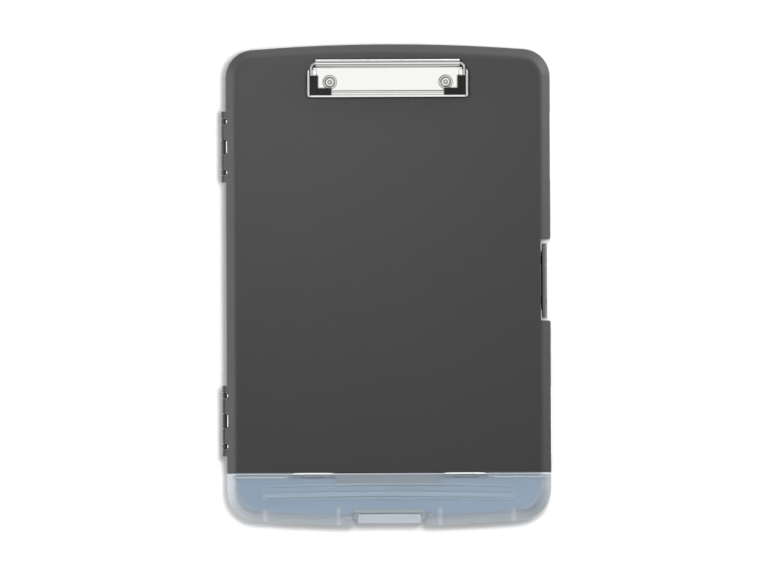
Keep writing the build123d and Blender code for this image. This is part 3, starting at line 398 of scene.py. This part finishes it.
def tab_walls(finish):
    """The pull tab is thick for its size and milky all over, most of all along its ends."""
    ends = finish.step(from_middle(finish), start=21 * MM, end=23 * MM)
    return TAB_SHARE + ends * TAB_END_SHARE


print("arches of the relief:", round(RELIEF_RADIUS, 2), "m in radius")

# %% [markdown]
# ## Mixing the frosted plastic
#
# The real plastic is one milky melt, so its cover, tray and tab differ only in thickness. Light that
# crosses a thin face picks up the blue of the body; light from a thick wall comes back nearly white.
# Each piece could have a recipe of its own, but the three would drift apart, so they share one and
# differ in their walls and in how much painted shade their corners get. Edges get a painted
# highlight, and so does the edge at the seam. Only the milk of the tab is paler: a painted
# highlight, because its rounded shoulder catches the lamp.

# %% Frosted plastic
FROST = (0.58, 0.70, 0.81, 1)
MILK = (0.41, 0.455, 0.49, 1)
# Paler milk for the tab: a painted highlight.
TAB_MILK_PAINTED_HIGHLIGHT = (0.74, 0.79, 0.86, 1)
# White of the milky marks, and of the painted highlights on edges and at the seam.
MILK_AND_HIGHLIGHT_WHITE = (0.90, 0.94, 0.98, 1)
FACE_CLEARNESS, WALL_CLEARNESS = 0.85, 0.15


def frosted_plastic(name, milk, walls, depth, paleness=None):
    """Plastic that is blue-grey in its faces and milky in its walls; depth sets the painted shade in
    its corners.
    """
    finish = Finish(name)
    clouds = finish.noise(size=30 * MM, detail=2.0, stretch=(0.5, 1.5, 1.0))
    frosting = finish.noise(size=0.3 * MM, detail=2.0)
    # Painted highlight along the edges, added to the paleness of marks and relief.
    milk_and_highlight = finish.edge_mask(radius=0.7 * MM, gain=4.0) * 0.9
    if paleness:
        pale = paleness(finish)
        milk_and_highlight = milk_and_highlight + pale
        milk = finish.colour_step(pale, milk, MILK_AND_HIGHLIGHT_WHITE)
    cloudy = finish.colour_step(clouds, FROST, times(FROST, 1.06))
    body = finish.colour_step(milk_and_highlight, cloudy, MILK_AND_HIGHLIGHT_WHITE)
    # Painted shade in the corners, set by depth.
    crease_shade = finish.painted_shade_mask(reach=0.9 * MM) * depth
    shadow = times(FROST, 0.5)
    skin = finish.relief(frosting, distance=0.01 * MM, radius=0.3 * MM)
    sheen = 0.28 + clouds * 0.05 + frosting * 0.05
    face = finish.shader(Base_Color=finish.colour_step(crease_shade, body, shadow), Roughness=sheen,
                         IOR=PLASTIC_IOR, Transmission_Weight=FACE_CLEARNESS, Normal=skin)
    wall = finish.shader(Base_Color=finish.colour_step(crease_shade * 0.5, milk, shadow),
                         Roughness=sheen + 0.1, IOR=PLASTIC_IOR,
                         Transmission_Weight=WALL_CLEARNESS, Normal=skin)
    return finish.close(finish.mix(walls(finish), face, wall))


frosted_cover = frosted_plastic("milky_cover", MILK, cover_walls, depth=0.7,
                                paleness=cover_paleness)
frosted_tray = frosted_plastic("milky_tray", MILK, tray_walls, depth=0.2)
frosted_tab = frosted_plastic("milky_tab", TAB_MILK_PAINTED_HIGHLIGHT, tab_walls, depth=0.3)
print("finishes:", frosted_cover.name, frosted_tray.name, frosted_tab.name)

# %% [markdown]
# ## Plated steel
#
# The clip is pressed from sheet steel and plated bright. It mirrors the room, which is drawn further
# down, and the dark board beneath it. Its look is made of those reflections, so the base colour is
# nearly white and the roughness is low. A perfect mirror would look computed, so faint drawing
# lines run along the sheet, and the press has left tiny ripples. The pins, springs and washers are
# bare steel, darker and duller, from the same recipe.

# %% Plated steel
NICKEL = (0.93, 0.925, 0.91, 1)
RIVET_METAL = (0.84, 0.83, 0.81, 1)
PLAIN_STEEL = (0.62, 0.61, 0.60, 1)
STEEL_SHADOW = (0.02, 0.02, 0.02, 1)


def plated_steel(name, tone, roughness, lines_along):
    """Bright metal with faint lines; lines_along stretches them along the rolled direction."""
    finish = Finish(name)
    lines = finish.noise(size=0.5 * MM, detail=3.0, stretch=lines_along)
    ripple = finish.noise(size=9 * MM, detail=2.0)
    specks = finish.ramp(finish.noise(size=1.2 * MM, detail=4.0), [(0.66, 0.0), (0.78, 1.0)])
    body = finish.colour_step(specks * 0.25, tone, times(tone, 0.8))
    # Painted shade in corners and next to neighbouring pieces.
    crease_shade = finish.painted_shade_mask(reach=1.2 * MM, alone=False) ** 0.7
    return finish.close(finish.shader(
        Base_Color=finish.colour_step(crease_shade, body, STEEL_SHADOW),
        Metallic=1.0,
        Roughness=roughness + lines * 0.04 + specks * 0.04,
        Normal=finish.relief(lines * 0.2 + ripple, distance=0.02 * MM, radius=0.2 * MM),
    ))


clip_plating = plated_steel("clip_plating", NICKEL, roughness=0.06, lines_along=(0.06, 1.0, 1.0))
rivet_plating = plated_steel("rivet_plating", RIVET_METAL, roughness=0.12,
                             lines_along=(1.0, 1.0, 1.0))
bare_steel = plated_steel("bare_steel", PLAIN_STEEL, roughness=0.28, lines_along=(1.0, 0.08, 1.0))
print("finishes:", clip_plating.name, rivet_plating.name, bare_steel.name)

# %% [markdown]
# ## Black grips
#
# Two soft black corner pieces hold the paper. They are vinyl, a touch glossy where they have been
# rubbed, with a coarse, slightly greasy skin. Pure black would swallow their shape, so the edges get
# a painted highlight, a little paler, and the corners a painted shade; the skin goes into the
# relief.

# %% Black vinyl
VINYL_BLACK = (0.005, 0.0048, 0.0046, 1)
# Paler for rubbed places and the painted highlight on edges; nearly black for painted shade.
VINYL_RUB_AND_HIGHLIGHT = (0.075, 0.071, 0.068, 1)
VINYL_PAINTED_SHADE = (0.001, 0.001, 0.001, 1)


def black_vinyl():
    """Soft black plastic with a coarse skin, painted highlight on its edges and painted shade in its
    corners.
    """
    finish = Finish("black_vinyl")
    skin = finish.noise(size=0.6 * MM, detail=4.0)
    rubbed = finish.noise(size=5 * MM, detail=3.0)
    # Painted highlight along the edges; the rubbed patches are real.
    edges = finish.edge_mask(radius=0.4 * MM, gain=2.0)
    body = finish.colour_step(edges * 0.5 + rubbed * 0.15, VINYL_BLACK, VINYL_RUB_AND_HIGHLIGHT)
    return finish.close(finish.shader(
        # Painted shade in the corners.
        Base_Color=finish.colour_step(finish.painted_shade_mask(reach=0.5 * MM), body, VINYL_PAINTED_SHADE),
        Roughness=0.42 + rubbed * 0.14 - edges * 0.08,
        Specular_IOR_Level=0.12,
        Normal=finish.relief(skin, distance=0.03 * MM, radius=0.3 * MM),
    ))


vinyl = black_vinyl()
print("finish:", vinyl.name)

# %% [markdown]
# ## Dressing the pieces
#
# Each piece of the construction model keeps its shape and gets its finish. Pieces of one material
# have names that start alike, so one table says which finish a name's start stands for, and every
# piece is looked up in it. Setting each piece by itself would need twenty-three lines and hide
# which pieces belong together.

# %% Give every piece its finish
FINISH_OF = {
    "base_shell": charcoal, "lid_shell": charcoal, "side_latch": latch_charcoal_painted_highlight,
    "pen_tray": frosted_tray, "pen_cover": frosted_cover, "pen_latch": frosted_tab,
    "clip_plate": clip_plating, "clip_jaw": clip_plating, "clip_rod": clip_plating,
    "corner_grip": vinyl, "rivet": rivet_plating, "washer": bare_steel, "clip_spring": bare_steel,
}


def finish_for(node):
    """Finish of the piece whose name starts the same way; every plain pin is bare steel."""
    for start, material in FINISH_OF.items():
        if node.startswith(start) and not node.endswith("_pin"):
            return material
    return bare_steel


for node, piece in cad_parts.items():
    piece.data.materials.clear()
    piece.data.materials.append(finish_for(node))
print("dressed pieces:", len(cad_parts))

# %% [markdown]
# ## Modelling by hand, in code
#
# The small pieces that follow are made as by hand: a primitive is added where the piece belongs, its
# faces are picked, and inset, translate and bevel give them their shape. In a script nothing can be
# clicked, so faces are picked by the way they face. Whatever was selected before is let go of first,
# because an operator works on everything that is selected. What is there more than once is modelled
# once and copied with a mesh of its own, and each piece is told which body it rides on, so that it
# moves with the case.

# %% Picking faces and starting from a primitive
STRAIGHT = 0.9


def pick_faces(piece, upwards):
    """In edit mode, select only the faces that face straight up, or down if upwards is -1."""
    bpy.ops.mesh.select_mode(type="FACE")
    bpy.ops.mesh.select_all(action="DESELECT")
    mesh = bmesh.from_edit_mesh(piece.data)
    for face in mesh.faces:
        face.select_set(face.normal.z * upwards > STRAIGHT)
    bmesh.update_edit_mesh(piece.data)


def start_disc(name, place, radius, thickness, sides):
    """Short cylinder that stands on its place, ready in edit mode."""
    bpy.ops.object.select_all(action="DESELECT")
    middle = (place[0], place[1], place[2] + thickness / 2)
    bpy.ops.mesh.primitive_cylinder_add(vertices=sides, radius=radius, depth=thickness,
                                        location=middle)
    piece = bpy.context.object
    piece.name = name
    bpy.ops.object.transform_apply(location=True, rotation=True, scale=True)
    bpy.ops.object.mode_set(mode="EDIT")
    return piece


def round_off(piece, width, segments):
    """Leave edit mode and round every sharp edge."""
    bpy.ops.object.mode_set(mode="OBJECT")
    modifier = piece.modifiers.new("round_off", "BEVEL")
    modifier.width = width
    modifier.segments = segments
    modifier.limit_method = "ANGLE"
    modifier.angle_limit = radians(25)
    bpy.ops.object.modifier_apply(modifier=modifier.name)
    bpy.ops.object.shade_smooth_by_angle(angle=radians(35))


print("helpers for modelling are ready")


# %% Copying a piece and letting it ride
def copy_to(piece, name, shift):
    """Copy with its own mesh, moved by shift; the object itself stays at the origin."""
    bpy.ops.object.select_all(action="DESELECT")
    twin = piece.copy()
    twin.data = piece.data.copy()
    twin.name = name
    bpy.context.scene.collection.objects.link(twin)
    twin.select_set(True)
    bpy.context.view_layer.objects.active = twin
    bpy.ops.transform.translate(value=shift)
    bpy.ops.object.transform_apply(location=True, rotation=True, scale=True)
    return twin


def finish_piece(piece, material, body):
    """Finish a new piece, and let it ride on its body."""
    piece.data.materials.clear()
    piece.data.materials.append(material)
    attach(piece, body)


print("helpers for copies are ready")

# %% [markdown]
# ## Rivet crowns
#
# The clip is held by two tubular rivets. When such a rivet is set, the end of its tube is rolled
# over, so its middle shows a ring with a sunken floor and a small raised button. A texture could
# fake it, but in a mirror finish only real curves catch the light. One disc is inset four times,
# each new face is pushed down or lifted, and a bevel rolls the edges. The second crown is a copy.

# %% Rivet crowns
RIVET_DISH = 0.45 * MM
CROWN_RADIUS = 1.5 * MM
CROWN_SINK = 0.06 * MM
CROWN_HEIGHT = 0.42 * MM
CROWN_STEPS = ((0.38, -0.24), (0.34, 0.0), (0.10, 0.14), (0.30, -0.06))


def rivet_middle(node):
    """Middle of a rivet's sunken dish, a hair below its floor so that the crown is seated."""
    low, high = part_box(node)
    return ((low[0] + high[0]) / 2, (low[1] + high[1]) / 2, high[2] - RIVET_DISH - CROWN_SINK)


def model_crown(name, place):
    """Disc whose top is inset and moved once for each step of (inset, lift) in millimetres."""
    crown = start_disc(name, place, CROWN_RADIUS, CROWN_HEIGHT, sides=48)
    pick_faces(crown, upwards=1)
    for inset, lift in CROWN_STEPS:
        bpy.ops.mesh.inset(thickness=inset * MM)
        bpy.ops.transform.translate(value=(0, 0, lift * MM))
    round_off(crown, width=0.09 * MM, segments=3)
    return crown


left_place = rivet_middle("rivet_left")
right_place = rivet_middle("rivet_right")
to_the_right = (right_place[0] - left_place[0], 0, 0)
crown_left = model_crown("rivet_crown_left", left_place)
crown_right = copy_to(crown_left, "rivet_crown_right", to_the_right)
for crown in (crown_left, crown_right):
    finish_piece(crown, rivet_plating, "lid")
print("crown faces:", len(crown_left.data.polygons))

# %% [markdown]
# ## Swells round the rivets
#
# Under each rivet the plate is pressed up into a low round swell, which the photograph shows as a
# ring round the rivet's head. It is a shape of revolution, so it is spun: a small circle stands
# upright beside the rivet, is flattened, and is spun once round the rivet's middle. The spin leaves
# its two ends on top of each other, so doubles are merged and the normals are made to point
# outwards. The swell stays just lower than the black grips, which pass over it.

# %% Swells round the rivets
SWELL_RADIUS = 4.35 * MM
SWELL_HALF_WIDTH = 0.9 * MM
SWELL_RISE = 0.42 * MM
SHEET_THICKNESS = 0.8 * MM
PLATE_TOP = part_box("clip_plate")[0][2] + SHEET_THICKNESS


def model_swell(name, middle):
    """Low ring on the plate, spun round the middle of a rivet."""
    bpy.ops.object.select_all(action="DESELECT")
    start = (middle[0] + SWELL_RADIUS, middle[1], PLATE_TOP)
    bpy.ops.mesh.primitive_circle_add(vertices=16, radius=SWELL_HALF_WIDTH, location=start,
                                      rotation=(pi / 2, 0, 0))
    swell = bpy.context.object
    swell.name = name
    bpy.ops.object.transform_apply(location=True, rotation=True, scale=True)
    bpy.ops.object.mode_set(mode="EDIT")
    bpy.ops.mesh.select_all(action="SELECT")
    bpy.ops.transform.resize(value=(1, 1, SWELL_RISE / SWELL_HALF_WIDTH), center_override=start)
    bpy.ops.mesh.spin(steps=72, angle=2 * pi, center=(middle[0], middle[1], PLATE_TOP),
                      axis=(0, 0, 1))
    bpy.ops.mesh.select_all(action="SELECT")
    bpy.ops.mesh.remove_doubles(threshold=0.001 * MM)
    bpy.ops.mesh.normals_make_consistent(inside=False)
    bpy.ops.object.mode_set(mode="OBJECT")
    bpy.ops.object.shade_smooth_by_angle(angle=radians(60))
    return swell


swell_left = model_swell("rivet_swell_left", left_place)
swell_right = copy_to(swell_left, "rivet_swell_right", to_the_right)
for swell in (swell_left, swell_right):
    finish_piece(swell, clip_plating, "lid")
print("swell faces:", len(swell_left.data.polygons))

# %% [markdown]
# ## Ejector marks
#
# Moulded shells are pushed off the mould by pins, and each pin leaves a round mark with a fine
# raised rim on the inside. They show when the case lies open. Rings drawn in the material would be
# cheaper, but then they would be flat. So one mark is a thin disc whose top is inset and sunk, and
# the rest are copies in rows, on the floor of the case and under the lid.

# %% Ejector marks
MARK_RADIUS = 2.6 * MM
MARK_HEIGHT = 0.14 * MM
MARK_RIM = 0.3 * MM
MARK_SLOPE = 0.12 * MM
MARK_SINK = 0.1 * MM
MARK_ROWS = (-95 * MM, 15 * MM, 125 * MM)
MARK_COLUMNS = (-85 * MM, 0.0, 85 * MM)
SHELL_FLOOR = 2.2 * MM
LID_CEILING = 24.8 * MM


def model_mark(name, place, upwards):
    """One mark; upwards is 1 on the floor of the case and -1 under the lid."""
    foot = (place[0], place[1], place[2] - (MARK_HEIGHT if upwards < 0 else 0.0))
    mark = start_disc(name, foot, MARK_RADIUS, MARK_HEIGHT, sides=32)
    pick_faces(mark, upwards)
    bpy.ops.mesh.inset(thickness=MARK_RIM)
    bpy.ops.mesh.inset(thickness=MARK_SLOPE)
    bpy.ops.transform.translate(value=(0, 0, -MARK_SINK * upwards))
    bpy.ops.object.mode_set(mode="OBJECT")
    bpy.ops.object.shade_smooth_by_angle(angle=radians(30))
    return mark


def model_marks(side, body, height, upwards):
    """Nine marks in rows: the first is modelled, the others are its copies."""
    places = [(x, y) for y in MARK_ROWS for x in MARK_COLUMNS]
    first_x, first_y = places[0]
    first = model_mark("ejector_mark_%s_1" % side, (first_x, first_y, height), upwards)
    marks = [first]
    for number, (x, y) in enumerate(places[1:], start=2):
        name = "ejector_mark_%s_%d" % (side, number)
        marks.append(copy_to(first, name, (x - first_x, y - first_y, 0)))
    for mark in marks:
        finish_piece(mark, charcoal, body)
    print("marks on the", side + ":", len(marks))


model_marks("base", "case", SHELL_FLOOR, 1)
model_marks("lid", "lid", LID_CEILING, -1)

# %% [markdown]
# ## White sweep
#
# The case lies on a sweep of white paper, which keeps its shadow. The paper is lit like any surface,
# and it glows a little besides: faintly everywhere, fully beyond the case's surroundings so that no
# horizon shows, and strongly where the eye looks through a hinge window or a slit. Rays that come
# through the frosted plastic see a brighter paper, because light also comes back up through the real
# compartment. Brighter lamps could do the same, but they would wash out the shadow.

# %% What the sweep gives back
OPEN_GLOW = 0.05
UNDER_GLOW = 0.6
WINDOW_GLOW = 0.9
SLIT_GLOW = 0.7
WINDOW_MIDDLE, WINDOW_LINE = 56.6 * MM, -140.8 * MM
WINDOW_HALF_LENGTH, WINDOW_HALF_WIDTH = 17.2 * MM, 1.1 * MM
SLIT_LINE, SLIT_HALF_WIDTH, SLIT_HALF_LENGTH = 119.9 * MM, 0.9 * MM, 25 * MM
UPPER_SLIT, LOWER_SLIT = 103.2 * MM, -100.8 * MM
FAR_START, FAR_END = 0.4, 1.2


def seen_glow(finish):
    """Glow that the eye sees: in the hinge windows, in the hinge slits and far from the case."""
    across, y = from_middle(finish), along_middle(finish)
    narrowing = (abs(across - WINDOW_MIDDLE) / WINDOW_HALF_LENGTH) ** 8.0
    from_edge = WINDOW_HALF_WIDTH * (1 - narrowing) - abs(y - WINDOW_LINE)
    windows = finish.step(from_edge, start=0.0, end=0.1 * MM)
    beside = stripe(finish, across, SLIT_LINE, SLIT_HALF_WIDTH, soft=0.1 * MM)
    upper = stripe(finish, y, UPPER_SLIT, SLIT_HALF_LENGTH, soft=0.5 * MM)
    lower = stripe(finish, y, LOWER_SLIT, SLIT_HALF_LENGTH, soft=0.5 * MM)
    far = finish.step((across * across + y * y) ** 0.5, FAR_START, FAR_END)
    return OPEN_GLOW + windows * WINDOW_GLOW + beside * (upper + lower) * SLIT_GLOW + far


def glow_under_compartment(finish):
    """Glow that comes up through the frosted plastic, from inside its outline and up to its seam."""
    within = finish.step(rim_distance(finish), start=1 * MM, end=3 * MM)
    below_seam = 1 - finish.step(along_middle(finish), start=-141 * MM, end=-138 * MM)
    return within * below_seam * UNDER_GLOW


print("windows:", round(2 * WINDOW_HALF_LENGTH / MM, 1), "mm long")

# %% White sweep
FLOOR_SIZE = 8.0
FLOOR_DROP = 0.1 * MM
PAPER = (0.86, 0.86, 0.86, 1)
PALE_PAPER = (0.88, 0.88, 0.88, 1)


def floor_finish():
    """White paper that keeps shadows, and shines white where the case has a slit or a clear wall."""
    finish = Finish("white_sweep")
    paper = finish.colour_step(finish.noise(size=2 * MM, detail=3.0), PAPER, PALE_PAPER)
    lit = finish.add("ShaderNodeBsdfDiffuse", {}, {"Color": paper})
    glow = (finish.ray("Camera") * seen_glow(finish)
            + finish.ray("Transmission") * glow_under_compartment(finish)
            + finish.ray("Glossy") * OPEN_GLOW)
    dark = finish.white_light("ShaderNodeEmission", 0.0)
    white = finish.white_light("ShaderNodeEmission", 1.0)
    shining = finish.mix(glow, dark, white)
    return finish.close(finish.add("ShaderNodeAddShader", {}, {0: lit, 1: shining}))


bpy.ops.object.select_all(action="DESELECT")
bpy.ops.mesh.primitive_plane_add(size=FLOOR_SIZE, location=(0, 0, -FLOOR_DROP))
floor = bpy.context.object
floor.name = "floor"
floor.data.materials.append(floor_finish())
print("floor:", FLOOR_SIZE, "m square, a hair below the underside of the case")

# %% [markdown]
# ## The room
#
# The eye sees plain white all round, and dull surfaces get an even, weak light. Mirrors are another
# matter: chrome looks like chrome only when it has something dark to show. So they see a studio
# instead: a broad bright belt, a dim band above it and full light overhead, with one dark screen
# that leans in from the upper left. The belt is written as a height and a brightness for each of
# its edges. The same could be built from cards round the object, but those would also take light
# from the dull surfaces, so it is painted on the room and shown to reflected and refracted rays.

# %% The room
ROOM_LIGHT = 0.34
BELT = [(0.0, 0.52), (0.5, 0.62), (0.70, 0.5), (0.82, 0.2), (0.92, 0.2), (0.975, 1.0)]
SCREEN_SIDE, SCREEN_UP = 0.566, 0.6
SCREEN_DARKNESS = 0.95
world = bpy.data.worlds.new("white_room")
bpy.context.scene.world = world
world.use_nodes = True
room = Sheet(world.node_tree)
direction = room.add("ShaderNodeTexCoord", {}, {}, "Generated")
x, y, z = [room.along(direction, axis) for axis in "XYZ"]
towards_screen = z * SCREEN_UP + y * SCREEN_SIDE - x * SCREEN_SIDE
screen = room.step(towards_screen, start=0.78, end=0.90)
mirrored = room.ramp(z, BELT) * (1 - screen * SCREEN_DARKNESS)
dark, ambient, white = [room.white_light("ShaderNodeBackground", strength)
                        for strength in (0.0, ROOM_LIGHT, 1.0)]
studio = room.mix(mirrored, dark, white)
plain = room.mix(room.ray("Camera"), ambient, white)
shown = room.mix(room.ray("Transmission") + room.ray("Glossy"), plain, studio)
room.add("ShaderNodeOutputWorld", {}, {"Surface": shown})
print("room light:", ROOM_LIGHT)

# %% [markdown]
# ## The lamps
#
# A small, weak lamp beside the zenith lights everything. A stronger one at the same place lights the
# sweep alone, which makes the narrow shadow below and to the left without bleaching the board. One
# lamp above the board's upper left gives it its slow fall of light, and four low ones at the sides
# light the bevels and the frosted rim. Lamps that light everything are simpler, but in the chrome,
# which has its light from the room, they would be hard spots. So the first lamp is hidden from
# reflections, and the others are linked to the pieces that they are meant for.


# %% Lamps
def softbox(name, place, size, watts):
    """Rectangular lamp that faces the middle of the case."""
    lamp = bpy.data.lights.new(name, "AREA")
    lamp.shape = "RECTANGLE"
    lamp.size, lamp.size_y = size
    lamp.energy = watts
    holder = bpy.data.objects.new(name, lamp)
    bpy.context.scene.collection.objects.link(holder)
    holder.location = place
    holder.rotation_euler = (-Vector(place)).to_track_quat("-Z", "Y").to_euler()
    holder.visible_camera = False
    return holder


def choose_light(lamp, pieces, state):
    """State INCLUDE lights only these pieces, EXCLUDE lights all but these."""
    group = bpy.data.collections.new(lamp.name + "_pieces")
    for piece in pieces:
        group.objects.link(piece)
    for entry in group.collection_objects:
        entry.light_linking.link_state = state
    lamp.light_linking.receiver_collection = group


print("helpers for lamps are ready")

# %% Place the lamps
ZENITH, ZENITH_SIZE = (0.15, 0.15, 1.6), (0.34, 0.34)
CORNER_PLACE, CORNER_SIZE = (-0.10, 0.20, 0.45), (0.22, 0.22)
KEY_WATTS, SWEEP_WATTS, CORNER_WATTS = 4.5, 15.5, 1.15
LONG_SIZE, SHORT_SIZE = (1.6, 0.3), (0.5, 0.16)
SIDE_LAMPS = (
    ("left_lamp", (-1.5, 0.0, 0.2), LONG_SIZE, 20.0),
    ("right_lamp", (0.8, 0.42, 0.107), SHORT_SIZE, 8.0),
    ("far_lamp", (0.2, 1.5, 0.2), LONG_SIZE, 13.0),
    ("near_lamp", (0.0, -1.5, 0.2), LONG_SIZE, 8.0),
)
mirrors = [piece for name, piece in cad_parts.items()
           if finish_for(name) in (clip_plating, rivet_plating)]
mirrors += [crown_left, crown_right, swell_left, swell_right]

key = softbox("key_lamp", ZENITH, ZENITH_SIZE, KEY_WATTS)
key.visible_glossy = False
choose_light(softbox("sweep_lamp", ZENITH, ZENITH_SIZE, SWEEP_WATTS), [floor], "INCLUDE")
corner_lamp = softbox("upper_left_lamp", CORNER_PLACE, CORNER_SIZE, CORNER_WATTS)
choose_light(corner_lamp, mirrors + [floor], "EXCLUDE")
for name, place, size, watts in SIDE_LAMPS:
    choose_light(softbox(name, place, size, watts), mirrors, "EXCLUDE")

# %% [markdown]
# ## The camera
#
# The portrait is taken from straight above with no perspective, so the camera is orthographic, and
# its width is the photograph's width at the case's scale. The case lies a quarter of a degree askew
# in the photograph. Turning the case would take it out of its frame, so the camera is turned by as
# much the other way.

# %% Camera
VIEW_WIDTH = 571.7 * MM
VIEW_CENTRE = (-3.35 * MM, -2.23 * MM)
CAMERA_HEIGHT = 1.2
CASE_ASKEW = radians(0.24)
bpy.ops.object.camera_add(location=(*VIEW_CENTRE, CAMERA_HEIGHT), rotation=(0, 0, -CASE_ASKEW))
camera = bpy.context.object
camera.name = "portrait_camera"
camera.data.type = "ORTHO"
camera.data.ortho_scale = VIEW_WIDTH
bpy.context.scene.camera = camera
bpy.context.scene.view_settings.view_transform = "Standard"
print("view:", VIEW_WIDTH, "m wide")
